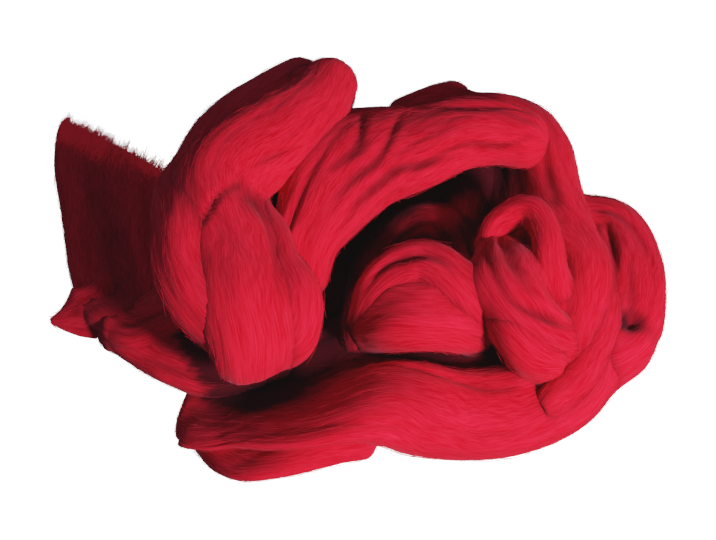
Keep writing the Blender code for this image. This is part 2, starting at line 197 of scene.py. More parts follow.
def combed_group():
    """Node group. Streaks: noise on the piece's UV map, stretched along the fibres and bent sideways by
    a slower noise. Its outputs are a fine streak mask, a broad tuft mask and a bumped normal. Across
    and Along are waves in a metre, and Sway is in metres."""
    group = bpy.data.node_groups.new("combed_fibre", "ShaderNodeTree")
    for name, default in (
        ("Fine Across", 1700.0),
        ("Fine Along", 120.0),
        ("Tuft Across", 170.0),
        ("Tuft Along", 24.0),
        ("Sway", 0.0030),
        ("Relief", 0.35),
    ):
        socket = group.interface.new_socket(name=name, in_out="INPUT", socket_type="NodeSocketFloat")
        socket.default_value = default
    for name, kind in (("Streak", "Float"), ("Tuft", "Float"), ("Normal", "Vector")):
        group.interface.new_socket(name=name, in_out="OUTPUT", socket_type="NodeSocket" + kind)
    link = group.links.new
    entry = group.nodes.new("NodeGroupInput")
    leave = group.nodes.new("NodeGroupOutput")
    uv = add_node(group, "ShaderNodeUVMap", uv_map="fibre_uv")
    split = group.nodes.new("ShaderNodeSeparateXYZ")
    link(uv.outputs["UV"], split.inputs[0])
    u, v = split.outputs["X"], split.outputs["Y"]

    def math_node(operation, a, b):
        node = add_node(group, "ShaderNodeMath", operation=operation)
        for socket, value in zip(node.inputs, (a, b)):
            if isinstance(value, float):
                socket.default_value = value
            else:
                link(value, socket)
        return node.outputs[0]

    def stretched_noise(along, across, sideways, detail, roughness):
        join = group.nodes.new("ShaderNodeCombineXYZ")
        link(math_node("MULTIPLY", u, along), join.inputs[0])
        link(math_node("MULTIPLY", sideways, across), join.inputs[1])
        noise = add_node(group, "ShaderNodeTexNoise", noise_dimensions="2D", Scale=1.0, Detail=detail)
        noise.inputs["Roughness"].default_value = roughness
        link(join.outputs[0], noise.inputs["Vector"])
        return noise.outputs["Fac"]

    slow = stretched_noise(SWAY_ALONG, SWAY_ACROSS, v, detail=2.0, roughness=0.5)
    sway = math_node("MULTIPLY", math_node("SUBTRACT", slow, 0.5), entry.outputs["Sway"])
    bent = math_node("ADD", v, math_node("MULTIPLY", sway, 2.0))
    fine_along, fine_across = entry.outputs["Fine Along"], entry.outputs["Fine Across"]
    fine = stretched_noise(fine_along, fine_across, bent, detail=3.0, roughness=0.6)
    tuft_along, tuft_across = entry.outputs["Tuft Along"], entry.outputs["Tuft Across"]
    tuft = stretched_noise(tuft_along, tuft_across, bent, detail=3.0, roughness=0.55)

    fine_height = math_node("MULTIPLY", fine, FINE_HEIGHT)
    height = math_node("ADD", fine_height, math_node("MULTIPLY", tuft, TUFT_HEIGHT))
    bump = add_node(group, "ShaderNodeBump", Distance=STREAK_DEPTH)
    link(entry.outputs["Relief"], bump.inputs["Strength"])
    link(height, bump.inputs["Height"])
    link(fine, leave.inputs["Streak"])
    link(tuft, leave.inputs["Tuft"])
    link(bump.outputs["Normal"], leave.inputs["Normal"])
    return group


combed = combed_group()


def two_colours(tree, mask, limits, colours):
    """The first colour where the mask is below the limits, the second above them, a blend between."""
    node = tree.nodes.new("ShaderNodeValToRGB")
    for element, limit, colour in zip(node.color_ramp.elements, limits, colours):
        element.position = limit
        element.color = colour
    tree.links.new(mask, node.inputs["Fac"])
    return node.outputs["Color"]


def wool_material(name, relief=0.42, sheen=0.09, glow=0.0):
    """Wool: deep red in the low tufts, paler and pinker on the high ones, mixed with streaks of deep and
    pale single fibres, and darkened by painted shade, kept in a point attribute of the piece. The glow
    is a painted glow: emission standing in for light that has come through the wool where it is thin."""
    material = bpy.data.materials.new(name)
    material.use_nodes = True
    tree = material.node_tree
    link = tree.links.new
    shader = tree.nodes["Principled BSDF"]
    fibre = add_node(tree, "ShaderNodeGroup", node_tree=combed)
    fibre.inputs["Relief"].default_value = relief
    tufts = two_colours(tree, fibre.outputs["Tuft"], TUFT_RANGE, (TUFT_LOW, TUFT_HIGH))
    single = two_colours(tree, fibre.outputs["Streak"], FIBRE_RANGE, (FIBRE_DEEP, FIBRE_PALE))
    mix = add_node(tree, "ShaderNodeMix", data_type="RGBA")
    mix.inputs["Factor"].default_value = FIBRE_SHARE
    link(tufts, mix.inputs[MIX_FIRST])
    link(single, mix.inputs[MIX_SECOND])
    # Painted shade: a point attribute darkens the colour towards the painted shade colour in hollows,
    # furrows and where turns touch.
    painted_shade = add_node(tree, "ShaderNodeAttribute", attribute_name="painted_shade")
    darken = add_node(tree, "ShaderNodeMix", data_type="RGBA")
    link(painted_shade.outputs["Fac"], darken.inputs["Factor"])
    link(mix.outputs[MIX_RESULT], darken.inputs[MIX_FIRST])
    darken.inputs[MIX_SECOND].default_value = PAINTED_SHADE_RED
    link(darken.outputs[MIX_RESULT], shader.inputs["Base Color"])
    link(fibre.outputs["Normal"], shader.inputs["Normal"])
    shader.inputs["Roughness"].default_value = WOOL_ROUGHNESS
    shader.inputs["Specular IOR Level"].default_value = 0.0
    shader.inputs["Sheen Weight"].default_value = sheen
    shader.inputs["Sheen Roughness"].default_value = SHEEN_ROUGHNESS
    shader.inputs["Sheen Tint"].default_value = SHEEN_TINT
    shader.inputs["Emission Color"].default_value = FIBRE_PALE
    shader.inputs["Emission Strength"].default_value = glow
    return material


wool = wool_material("red_wool")

# -----------------------------------------------------------------------------
# The long front band, and the flap that shows under it
# The rope crosses the whole front of the heap, turned on edge at the right and rolled flat at the
# left, where a thinner fold of the same rope lies under it on the floor.
# -----------------------------------------------------------------------------

# Middle of the section in mm, its width and thickness in mm, and its lean in degrees: how far the
# side to the right of the path is raised, or 0 where a row leaves it out.
Section = namedtuple("Section", "x y z wide thick lean", defaults=(0,))

# A furrow pressed into the rope, in mm along it and degrees round it from the side to the right of
# the path, over its top; with its depth and its half width in mm. A ridge has a depth below zero.
Furrow = namedtuple("Furrow", "along round depth half_width")

# A soft hollow in the same measures, or a swelling where its depth is below zero.
Dimple = namedtuple("Dimple", "along round depth half_along half_round")

SQUARENESS = 0.88  # power on the ring's sine and cosine: 1 is an ellipse, less is fuller at the corners
STEP_ALONG = 2.2 * MM
STEP_ROUND = 1.0 * MM
FEWEST_ROUND = 24
CAP_STEPS = 8
CAP_TILT = 0.5  # how far the outward direction turns to the rope's end on the cap
AXIS_SMOOTHING = 24 * MM  # length over which the width axis is averaged

# The fibre bundles' ridges: their width and height, coarse to fine. A ridge's section is a power of
# its wave, less the mean of that. The ridges drift round the rope and are warped once and twice round
# it, in radians of the wave; patches of them move round it, in radians; and there they swell by a
# share of their height. Each of these changes over lengths in the range beside it.
BUNDLES = ((24 * MM, 1.0 * MM), (11 * MM, 0.75 * MM), (5 * MM, 0.32 * MM))
RIDGE_POWER, RIDGE_MEAN = 0.8, 0.72
DRIFT, DRIFT_LENGTHS = 1.8, (60 * MM, 220 * MM)
WARP_ONCE, WARP_TWICE, WARP_LENGTHS = 0.9, 0.5, (50 * MM, 200 * MM)
PATCH_SHIFT, PATCH_LENGTHS = 5.0, (50 * MM, 150 * MM)
SWELL, SWELL_LENGTHS = 0.45, (30 * MM, 90 * MM)

FURROW_FADE = 5 * MM
NARROWEST_FURROW = 0.5 * MM


def table(kind, rows):
    """Rows as an array, each with one number for each name of its kind."""
    return np.array([kind(*row) for row in rows], float)


def natural_spline(knots, values, at):
    """The smooth curve through the values at the knots whose bending is zero at both ends."""
    count = len(knots)
    width = np.diff(knots)
    rises = np.diff(values, axis=0) / width[:, None]
    system = np.eye(count)
    inner = np.arange(1, count - 1)
    system[inner, inner - 1] = width[:-1]
    system[inner, inner] = 2 * (width[:-1] + width[1:])
    system[inner, inner + 1] = width[1:]
    slopes = np.zeros(values.shape)
    slopes[1:-1] = 6 * np.diff(rises, axis=0)
    bend = np.linalg.solve(system, slopes)
    piece = np.clip(np.searchsorted(knots, at, side="right") - 1, 0, count - 2)
    after = (at - knots[piece])[:, None]
    before = (knots[piece + 1] - at)[:, None]
    span = width[piece][:, None]
    return (
        (bend[piece] * before**3 + bend[piece + 1] * after**3) / (6 * span)
        + (values[piece] / span - bend[piece] * span / 6) * before
        + (values[piece + 1] / span - bend[piece + 1] * span / 6) * after
    )


def unit(vectors):
    """Each vector divided by its length."""
    return vectors / np.linalg.norm(vectors, axis=-1, keepdims=True)


def travelled(points):
    """Distance along the straight lines from point to point, from zero at the first."""
    return np.concatenate([[0], np.cumsum(np.linalg.norm(np.diff(points, axis=0), axis=1))])


def even_steps(length, step):
    """Distances from zero to the length in equal steps, none longer than the one given."""
    return np.linspace(0, length, int(np.ceil(length / step)) + 1)


def smoothed(values, reach):
    """Each row averaged with the rows up to reach either side of it."""
    padded = np.pad(values, ((reach, reach), (0, 0)), mode="edge")
    sums = np.cumsum(np.vstack([np.zeros((1, values.shape[1])), padded]), axis=0)
    return (sums[2 * reach + 1 :] - sums[: -2 * reach - 1]) / (2 * reach + 1)


# What is known at each ring: distance along, middle, half width and half thickness, and the axes
# along the rope, across its width and over its thickness.
Frames = namedtuple("Frames", "distance middle wide thick along across over")


def path_frames(rows, step):
    """Rings at even steps along the rows' spline. The width axis is level, square to the path, keeps
    its side where the path turns over, and is then turned by the lean."""
    points = table(Section, rows)
    points[:, :5] *= MM
    points[:, 5] = np.radians(points[:, 5])
    knots = travelled(points[:, :3])
    distance = even_steps(knots[-1], step)
    smooth = natural_spline(knots, points, distance)
    middle = smooth[:, :3] - HEAP_MIDDLE
    along = unit(np.gradient(middle, axis=0))
    level = np.cross(along, (0.0, 0.0, 1.0))
    flips = np.cumprod(np.where((level[1:] * level[:-1]).sum(axis=1) < 0, -1, 1))
    level[1:] *= flips[:, None]
    level = smoothed(level, max(1, round(AXIS_SMOOTHING / step)))
    level = unit(level - along * (level * along).sum(axis=1, keepdims=True))
    upright = np.cross(level, along)
    cosine, sine = np.cos(smooth[:, 5:6]), np.sin(smooth[:, 5:6])
    across = level * cosine + upright * sine
    over = upright * cosine - level * sine
    return Frames(distance, middle, smooth[:, 3] / 2, smooth[:, 4] / 2, along, across, over)


def slow_wave(rng, distance, lengths):
    """A smooth random function of distance along the rope, about -1 to 1: the mean of three sines whose
    wave lengths lie between the two given. It comes as a column."""
    waves = rng.uniform(*lengths, 3)
    starts = rng.uniform(0, 2 * math.pi, 3)
    return np.sin(2 * math.pi * distance[:, None] / waves + starts).sum(axis=1)[:, None] / 3


def bundle_relief(rng, distance, angle, girth, lift):
    """Height of the fibre bundles over the plain surface, in metres. Rounded ridges run along the
    rope, with creases between them, at three scales; each scale's ridges drift slowly round it, are
    closer together on one side than on the other, and come and go along it in patches."""
    relief = np.zeros((len(distance), len(angle)))
    for width, height in BUNDLES:
        count = max(2, round(girth / width))
        drift = slow_wave(rng, distance, DRIFT_LENGTHS) * DRIFT
        warp = WARP_ONCE * np.sin(angle + rng.uniform(0, 6))
        warp = warp + WARP_TWICE * np.sin(2 * angle + rng.uniform(0, 6))
        phase = count / 2 * angle + drift + warp * slow_wave(rng, distance, WARP_LENGTHS)
        patch = np.sin(angle * 2 + PATCH_SHIFT * slow_wave(rng, distance, PATCH_LENGTHS))
        strength = 1 - SWELL + SWELL * patch * slow_wave(rng, distance, SWELL_LENGTHS)
        relief += height * strength * (np.abs(np.cos(phase)) ** RIDGE_POWER - RIDGE_MEAN)
    return relief * lift


def turned_from(angle, start):
    """Angles measured from a start, between minus half a turn and half a turn."""
    return (angle - start + math.pi) % (2 * math.pi) - math.pi


def furrow_relief(furrow, distance, angle, girth):
    """Depth of one furrow, in metres: a bell-shaped trough whose middle line, depth and half width
    follow the spline through its rows, and which fades out at both ends."""
    rows = table(Furrow, furrow)
    knots = rows[:, 0] * MM
    follow = natural_spline(knots, rows[:, 1:], np.clip(distance, knots[0], knots[-1]))
    middle = np.radians(follow[:, 0:1])
    depth = follow[:, 1:2] * MM
    half_width = np.maximum(follow[:, 2:3] * MM, NARROWEST_FURROW)
    away = turned_from(angle, middle) * girth / (2 * math.pi)
    beyond = np.maximum(knots[0] - distance, 0) + np.maximum(distance - knots[-1], 0)
    fade = np.exp(-((beyond / FURROW_FADE) ** 2))[:, None]
    return -depth * fade * np.exp(-((away / half_width) ** 2))


def dimple_relief(dimple, distance, angle, girth):
    """Depth of one dimple, in metres: a bell in both directions."""
    dimple = Dimple(*dimple)
    along = (distance[:, None] - dimple.along * MM) / (dimple.half_along * MM)
    away = turned_from(angle, math.radians(dimple.round)) * girth / (2 * math.pi)
    around = away / (dimple.half_round * MM)
    return -dimple.depth * MM * np.exp(-(along**2) - around**2)


# A laid stretch: its object, its rings, the surface's points, outward directions and relief as grids
# of ring and place round it, the two tips, the distance along of each ring of the grid, and the girth.
Rope = namedtuple("Rope", "obj frames points outward relief tips distance girth")


def rope_surface(frames, furrows, dimples, seed, lift, step_round):
    """The rope's surface as a grid of points: ring i, point j. Each ring is a rounded rectangle on the
    width and thickness axes, pushed out by the bundles and in by the furrows; past both ends the
    rings shrink on a quarter ellipse, and the relief with the square root of their size."""
    wide, thick = frames.wide, frames.thick
    girth = 2 * math.pi * math.sqrt((wide.mean() ** 2 + thick.mean() ** 2) / 2)
    count = max(FEWEST_ROUND, 2 * round(girth / step_round / 2))
    angle = np.arange(count) * 2 * math.pi / count - math.pi / 2

    turn = np.linspace(math.pi / 2, 0, CAP_STEPS, endpoint=False)[1:]
    last = len(frames.distance) - 1
    index = np.concatenate([np.zeros(len(turn), int), np.arange(last + 1), np.full(len(turn), last)])
    share = np.concatenate([np.cos(turn), np.ones(last + 1), np.cos(turn[::-1])])
    before, after = -np.sin(turn) * thick[0], np.sin(turn[::-1]) * thick[-1]
    beyond = np.concatenate([before, np.zeros(last + 1), after])
    distance = frames.distance[index] + beyond

    cosine, sine = np.cos(angle)[:, None], np.sin(angle)[:, None]
    side = np.sign(cosine) * np.abs(cosine) ** SQUARENESS
    top = np.sign(sine) * np.abs(sine) ** SQUARENESS
    across, over = frames.across[index][:, None], frames.over[index][:, None]
    along = frames.along[index]
    middle = (frames.middle[index] + along * beyond[:, None])[:, None]
    width_arm = (wide[index] * share)[:, None, None] * across
    thick_arm = (thick[index] * share)[:, None, None] * over
    points = middle + side * width_arm + top * thick_arm

    outward = unit(
        cosine * across * thick[index][:, None, None]
        + sine * over * wide[index][:, None, None]
        + (along * (beyond * CAP_TILT)[:, None])[:, None]
    )
    rng = np.random.default_rng(seed)
    relief = bundle_relief(rng, distance, angle, girth, lift)
    for furrow in furrows:
        relief = relief + furrow_relief(furrow, distance, angle, girth)
    for dimple in dimples:
        relief = relief + dimple_relief(dimple, distance, angle, girth)
    relief = relief * share[:, None] ** 0.5
    points = points + outward * relief[:, :, None]
    start = frames.middle[0] - frames.along[0] * thick[0]
    end = frames.middle[-1] + frames.along[-1] * thick[-1]
    return points, outward, relief, np.array([start, end]), distance, girth


def tube_faces(rings, count):
    """Corner numbers of a closed tube's faces: quads between its rings of count points, and a fan of
    triangles to the tip at each end. The two tips' numbers follow the rings'."""
    i, j = np.meshgrid(np.arange(rings - 1), np.arange(count), indexing="ij")
    k = (j + 1) % count
    quads = np.stack([i * count + j, i * count + k, (i + 1) * count + k, (i + 1) * count + j], axis=-1)
    around, after = np.arange(count), (np.arange(count) + 1) % count
    base = (rings - 1) * count
    start = np.stack([np.full(count, rings * count), after, around], axis=-1)
    end = np.stack([np.full(count, rings * count + 1), base + around, base + after], axis=-1)
    return quads.reshape(-1, 4), np.vstack([start, end])


def wool_mesh(name, points, quads, triangles, uv):
    """A smooth mesh of quads and then triangles, with the UV map on which the wool's streaks run."""
    mesh = bpy.data.meshes.new(name)
    mesh.vertices.add(len(points))
    mesh.vertices.foreach_set("co", points.astype(np.float32).ravel())
    corners = np.concatenate([quads.ravel(), triangles.ravel()])
    mesh.loops.add(len(corners))
    mesh.loops.foreach_set("vertex_index", corners.astype(np.int32))
    sizes = np.repeat((4, 3), (len(quads), len(triangles)))
    mesh.polygons.add(len(sizes))
    mesh.polygons.foreach_set("loop_start", (np.cumsum(sizes) - sizes).astype(np.int32))
    mesh.update(calc_edges=True)
    layer = mesh.uv_layers.new(name="fibre_uv")
    layer.data.foreach_set("uv", uv.astype(np.float32).ravel())
    mesh.shade_smooth()
    return mesh


def rope_mesh(name, points, tips, distance, girth):
    """A closed mesh of the grid's rings. Its UV map is in metres: u is the distance along the rope and
    v the distance round it."""
    rings, count = points.shape[:2]
    around = np.arange(count + 1) * (girth / count)
    grid = np.stack(np.meshgrid(distance, around, indexing="ij"), axis=-1)
    quads = np.stack([grid[:-1, :-1], grid[:-1, 1:], grid[1:, 1:], grid[1:, :-1]], axis=2)
    low, high = grid[[0, -1], :-1], grid[[0, -1], 1:]
    tip = (low + high) / 2
    start = np.stack([tip[0], high[0], low[0]], axis=1)
    end = np.stack([tip[1], low[1], high[1]], axis=1)
    uv = np.concatenate([part.reshape(-1, 2) for part in (quads, start, end)])
    vertices = np.vstack([points.reshape(-1, 3), tips])
    return wool_mesh(name, vertices, *tube_faces(rings, count), uv)


def add_piece(name, mesh, material, node):
    """A mesh as a piece that rides on the heap and stands for a solid."""
    mesh.materials.append(material)
    obj = add_object(name, mesh)
    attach(obj, "root")
    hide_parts(node)
    return obj


ropes = {}


def lay_turn(name, frames, furrows, dimples, seed, lift=1.0, step_round=STEP_ROUND):
    """One surface on its rings, as a piece. The lift is a share of the bundles' full height."""
    surface = rope_surface(frames, furrows, dimples, seed, lift, step_round)
    points, outward, relief, tips, distance, girth = surface
    obj = add_piece(name, rope_mesh(name, points, tips, distance, girth), wool, "roving")
    ropes[name] = Rope(obj, frames, points, outward, relief, tips, distance, girth)
    return obj


def lay_rope(name, rows, furrows=(), dimples=(), *, seed, coarse=1.0):
    """One stretch of the rope, along its rows, in steps that may be coarser where it is hidden."""
    frames = path_frames(rows, STEP_ALONG * coarse)
    lay_turn(name, frames, furrows, dimples, seed, step_round=STEP_ROUND * coarse)


front_band_rows = (
    (-78, -63, 5, 36, 8, 12),
    (-73, -64, 6, 45, 8, 16),
    (-66, -67, 8, 52, 8, 20),
    (-52, -70, 12, 54, 8, 24),
    (-35, -74, 19, 56, 9, 25),
    (-18, -78, 26, 55, 11, 26),
    (-4, -77, 29, 52, 16, 26),
    (10, -75, 28, 47, 24, 17),
    (26, -74, 23, 43, 32, -4),
    (45, -73, 17, 41, 34, -17),
    (64, -71, 16, 41, 32, -22),
    (82, -65, 16, 40, 31, -22),
    (98, -54, 17, 38, 30, -14),
    (105, -39, 21, 34, 30, 0),
    (108, -23, 23, 31, 28, 0),
    (108, -11, 22, 27, 26, 0),
)
front_band_furrows = (
    ((30, 84, 0.6, 4), (50, 92, 1.2, 5), (66, 100, 0.8, 5)),
    ((108, 122, 1.2, 2.2), (132, 116, 1.8, 2.4), (152, 110, 1, 2)),
    ((96, 28, 1, 2), (122, 46, 1.6, 2.2), (150, 58, 1, 2)),
)
front_band_dimples = (
    (116, 80, -2.5, 22, 14),
    (176, 100, 4.5, 7, 9),
    (167, 90, 2.5, 2.2, 10),
)
lay_rope("front_band", front_band_rows, front_band_furrows, front_band_dimples, seed=11)

under_flap_rows = (
    (-69, -80, 6, 14, 11, 8),
    (-60, -85, 8, 28, 11, 18),
    (-48, -90, 12, 38, 11, 22),
    (-37, -93, 17, 38, 11, 22),
    (-24, -92, 21, 32, 11, 16),
    (-11, -90, 23, 26, 12, 6),
    (2, -89, 22, 20, 12, 0),
)
lay_rope("under_flap", under_flap_rows, seed=12)

# -----------------------------------------------------------------------------
# The right side: the outer band, the loop beyond it and the ridge between them
# From the back the rope comes forward down the right of the heap, and a soft loop of it lies on the
# floor outside, drawn in where it passes under the band.
# -----------------------------------------------------------------------------

outer_band_rows = (
    (29, 88, 34, 28, 28, 0),
    (56, 86, 38, 31, 30, -8),
    (77, 80, 40, 34, 28, -24),
    (88, 64, 40, 35, 28, -34),
    (90, 44, 38, 36, 28, -34),
    (92, 25, 37, 38, 29, -22),
    (95, 8, 37, 40, 31, -8),
    (99, -8, 37, 37, 32, 0),
    (99, -24, 35, 32, 30, 0),
    (97, -38, 31, 27, 27, 0),
    (94, -50, 26, 21, 22, 0),
    (90, -60, 20, 15, 16, 0),
)
outer_band_furrows = (
    ((56, 110, 1.2, 2.5), (80, 118, 2, 3), (106, 108, 1.5, 3)),
    ((118, 70, 1.6, 2.4), (145, 80, 3, 2.8), (166, 82, 2, 2.4)),
)
outer_band_dimples = (
    (150, 112, -2.4, 16, 9),
    (92, 70, 3, 18, 8),
)
lay_rope("outer_band", outer_band_rows, outer_band_furrows, outer_band_dimples, seed=13)

right_loop_rows = (
    (103, 44, 13, 22, 24, 0),
    (113, 43, 14, 24, 26, 0),
    (124, 37, 15, 28, 30, 6),
    (129, 23, 16, 33, 31, 16),
    (129, 2, 17, 34, 32, 20),
    (127, -19, 17, 34, 33, 14),
    (120, -35, 17, 34, 33, 4),
    (109, -42, 16, 30, 30, 0),
    (99, -41, 15, 28, 28, 0),
)
right_loop_furrows = (
    ((60, 70, 1, 2), (78, 76, 2, 2.2), (91, 92, 2.6, 2.4)),
    ((91, 98, 2.4, 2.4), (99, 80, 1.8, 2), (108, 72, 1, 2)),
    ((18, 78, 1, 2), (40, 94, 2, 2.4), (60, 104, 1.4, 2.4)),
    ((30, 52, 1.5, 2), (46, 44, 2.4, 2.2), (60, 46, 1, 2)),
)
right_loop_dimples = (
    (91, 97, 3, 5.5, 5.5),
    (89, 122, 2, 3, 14),
    (60, 120, -2, 14, 8),
    (112, 120, -2, 12, 9),
)
lay_rope("right_loop", right_loop_rows, right_loop_furrows, right_loop_dimples, seed=14)

side_ridge_rows = (
    (112, 2, 34, 10, 14),
    (113, -16, 33, 12, 16),
    (112, -35, 31, 13, 18),
    (106, -50, 29, 13, 18),
    (98, -63, 28, 13, 16),
    (88, -72, 28, 11, 14),
)
lay_rope("side_ridge", side_ridge_rows, seed=27)

# -----------------------------------------------------------------------------
# The top band, and the turn that peeps out behind it
# A broad flat turn across the top of the heap, whose strands part and fan out as it dives into the
# hollow at the left; its right end is folded back under itself.
# -----------------------------------------------------------------------------

top_band_rows = (
    (78, 55, 62, 28, 26, -10),
    (65, 58, 63, 33, 28, -11),
    (45, 56, 63, 42, 29, -16),
    (25, 49, 62, 49, 31, -11),
    (7, 42, 62, 49, 32, 1),
    (-9, 26, 61, 45, 31, 11),
    (-19, 10, 58, 39, 29, 13),
    (-24, -4, 52, 29, 26, 5),
    (-25, -11, 42, 25, 24, 0),
)
top_band_furrows = (
    (
        (41, 172, 1.4, 2), (59, 152, 3, 2.4), (71, 141, 3.6, 2.8),
        (85, 141, 3.4, 2.8), (103, 131, 2.8, 2.4), (118, 136, 1.4, 2),
    ),
    ((68, 39, 1.2, 1.8), (73, 64, 2.2, 2.2), (88, 85, 2.4, 2.4), (97, 80, 1.4, 2)),
    ((56, 75, 1, 1.8), (68, 100, 2, 2.2), (82, 111, 2.6, 2.4), (94, 105, 2.2, 2.2), (106, 100, 1.2, 2)),
    ((73, 177, 1.2, 1.6), (94, 172, 2.4, 1.8), (103, 167, 1.2, 1.6)),
    ((-5, 118, 1, 1.6), (0, 144, 1.8, 1.8), (30, 158, 2.4, 2.4), (60, 160, 1.4, 2.4)),
    ((3, 70, 1, 2), (24, 86, 1.8, 2), (42, 70, 1, 2)),
    ((100, 60, 1, 1.6), (123, 62, 2, 1.8), (140, 58, 1, 1.6)),
)
lay_rope("top_band", top_band_rows, top_band_furrows, seed=15)

back_peek_rows = (
    (22, 91, 42, 9, 10),
    (35, 93, 47, 13, 14),
    (47, 95, 49, 14, 15),
)
lay_rope("back_peek", back_peek_rows, seed=31)

# -----------------------------------------------------------------------------
# The upright loop at the left, with the rolls along both its sides
# The highest turn: it stands over the back of the heap, comes down the left side and tucks in behind
# the front band; the rope's edges are rolled over along it.
# -----------------------------------------------------------------------------

loop_band_rows = (
    (-14, 84, 68, 27, 27, 8),
    (-22, 66, 71, 33, 29, 16),
    (-38, 45, 74, 39, 31, 22),
    (-54, 29, 75, 42, 31, 26),
    (-63, 13, 75, 42, 31, 28),
    (-58, -12, 73, 39, 31, 28),
    (-51, -37, 71, 39, 29, 25),
    (-47, -54, 68, 40, 27, 20),
    (-45, -62, 60, 40, 25, 22),
    (-45, -62, 50, 38, 24, 22),
    (-45, -48, 39, 34, 24, 12),
    (-45, -26, 26, 30, 24, 0),
)
loop_band_furrows = (
    ((90, 102, 0.6, 1.8), (99, 85, 2, 1.8), (105, 62, 2.6, 2), (111, 41, 2.6, 2), (118, 14, 1.6, 2)),
    ((51, 123, 1, 1.5), (63, 112, 2.2, 1.7), (72, 106, 1, 1.5)),
    ((116, 66, 0.8, 5), (140, 78, 1.8, 6), (158, 95, 1, 5)),
    ((112, 128, 0.6, 2), (128, 122, 1.6, 2.4), (150, 116, 1.4, 2.2)),
)
loop_band_dimples = (
    (103, 120, 3, 11, 8),
    (150, 70, -2, 18, 12),
)
lay_rope("loop_band", loop_band_rows, loop_band_furrows, loop_band_dimples, seed=16)

left_roll_rows = (
    (-25, 104, 52, 40, 18, -22),
    (-44, 91, 51, 50, 16, -26),
    (-60, 74, 51, 48, 17, -28),
    (-70, 49, 55, 37, 20, -20),
    (-79, 11, 66, 32, 26, 14),
    (-78, -16, 76, 28, 26, 34),
    (-76, -37, 74, 27, 26, 36),
    (-67, -51, 68, 26, 25, 20),
    (-61, -53, 58, 24, 23, 0),
    (-58, -44, 47, 22, 20, 0),
)
left_roll_furrows = (
    ((20, 68, 1, 1.8), (12, 84, 3.2, 2.4), (2, 92, 1.6, 2)),
)
lay_rope("left_roll", left_roll_rows, left_roll_furrows, seed=17)

right_roll_rows = (
    (-43, 4, 64, 10, 16),
    (-37, -12, 65, 13, 18),
    (-31, -30, 66, 16, 19),
    (-25, -44, 65, 19, 21),
    (-26, -53, 59, 20, 21),
    (-29, -56, 50, 19, 20),
    (-31, -49, 42, 17, 18),
)
lay_rope("right_roll", right_roll_rows, seed=18)

# -----------------------------------------------------------------------------
# The tent of three turns in the middle of the hollow
# Three turns of the rope stand over one another like a tent, open to the front.
# -----------------------------------------------------------------------------

tent_outer_rows = (
    (-1, -34, 22, 14, 20),
    (2, -14, 22, 18, 22),
    (9, 7, 24, 21, 22),
    (20, 22, 26, 23, 22),
    (34, 28, 28, 24, 22),
    (44, 19, 28, 22, 22),
    (51, 2, 28, 18, 20),
    (56, -20, 30, 15, 18),
    (58, -33, 30, 14, 18),
)
tent_outer_furrows = (
    ((40, 70, 0.8, 1.8), (70, 64, 1.6, 2), (100, 66, 1, 1.8)),
    ((96, 110, 1, 1.6), (116, 108, 1.6, 1.8), (132, 104, 1, 1.6)),
)
lay_rope("tent_outer", tent_outer_rows, tent_outer_furrows, seed=19)

tent_middle_rows = (
    (4, -31, 36, 12, 16),
    (7, -28, 46, 17, 19),
    (16, -22, 53, 22, 22),
    (30, -19, 56, 25, 24),
    (41, -27, 56, 23, 23),
    (48, -35, 51, 20, 22),
    (54, -40, 42, 15, 20),
)
tent_middle_furrows = (
    ((15, 81, 0.8, 1.8), (26, 90, 2.8, 2.2), (35, 83, 2.8, 2.2), (44, 88, 2.2, 2), (52, 82, 1, 1.8)),
)
lay_rope("tent_middle", tent_middle_rows, tent_middle_furrows, seed=20)

tent_body_rows = (
    (6, -33, 26, 18, 20),
    (13, -38, 39, 26, 25),
    (22, -40, 47, 31, 28),
    (37, -40, 47, 31, 28),
    (47, -40, 41, 26, 25),
    (55, -36, 28, 17, 20),
)
tent_body_furrows = (
    ((14, 80, 0.5, 3), (34, 76, 0.8, 4), (56, 80, 0.5, 3)),
)
lay_rope("tent_body", tent_body_rows, tent_body_furrows, seed=21)

# -----------------------------------------------------------------------------
# The folds inside the hollow's right side
# The rope drops from the back wall, hooks round on itself and comes forward in a soft fold, whose end
# is tucked down behind the front band.
# -----------------------------------------------------------------------------

inner_drop_rows = (
    (57, 76, 32, 20, 18),
    (56, 56, 30, 21, 18),
    (52, 38, 28, 20, 18),
    (50, 19, 26, 20, 18),
)
lay_rope("inner_drop", inner_drop_rows, seed=22)

back_wall_rows = (
    (80, 79, 28, 34, 20),
    (80, 60, 26, 34, 20),
    (81, 38, 25, 34, 22),
)
lay_rope("back_wall", back_wall_rows, seed=23)

hook_rows = (
    (59, 1, 50, 7, 10),
    (64, 8, 54, 11, 13),
    (71, 11, 57, 13, 15),
    (79, 11, 60, 14, 16),
    (84, 5, 60, 14, 16),
    (87, -8, 59, 14, 16),
    (88, -18, 55, 13, 16),
    (90, -24, 48, 12, 14),
)
lay_rope("hook", hook_rows, seed=24)

inner_fold_rows = (
    (70, 0, 42, 22, 16, 4),
    (67, -17, 53, 31, 22, 8),
    (68, -31, 56, 33, 25, 10),
    (73, -41, 54, 29, 25, 8),
    (80, -46, 48, 26, 24, 4),
    (86, -47, 40, 24, 22, 0),
    (91, -44, 30, 20, 20, 0),
)
inner_fold_furrows = (
    ((38, 48, 1, 1.8), (45, 62, 3.2, 2.4), (52, 84, 3.8, 2.6), (60, 100, 2.5, 2.4)),
    ((10, 74, 1, 1.8), (28, 88, 1.8, 2), (42, 98, 1.4, 2)),
    ((20, 50, 0.8, 1.6), (36, 58, 1.4, 1.8)),
)
lay_rope("inner_fold", inner_fold_rows, inner_fold_furrows, seed=25)

fold_lobe_rows = (
    (63, -39, 48, 8, 14),
    (65, -48, 50, 13, 18),
    (70, -56, 49, 16, 20),
    (76, -60, 45, 17, 20),
    (83, -59, 38, 14, 18),
)
lay_rope("fold_lobe", fold_lobe_rows, seed=26)

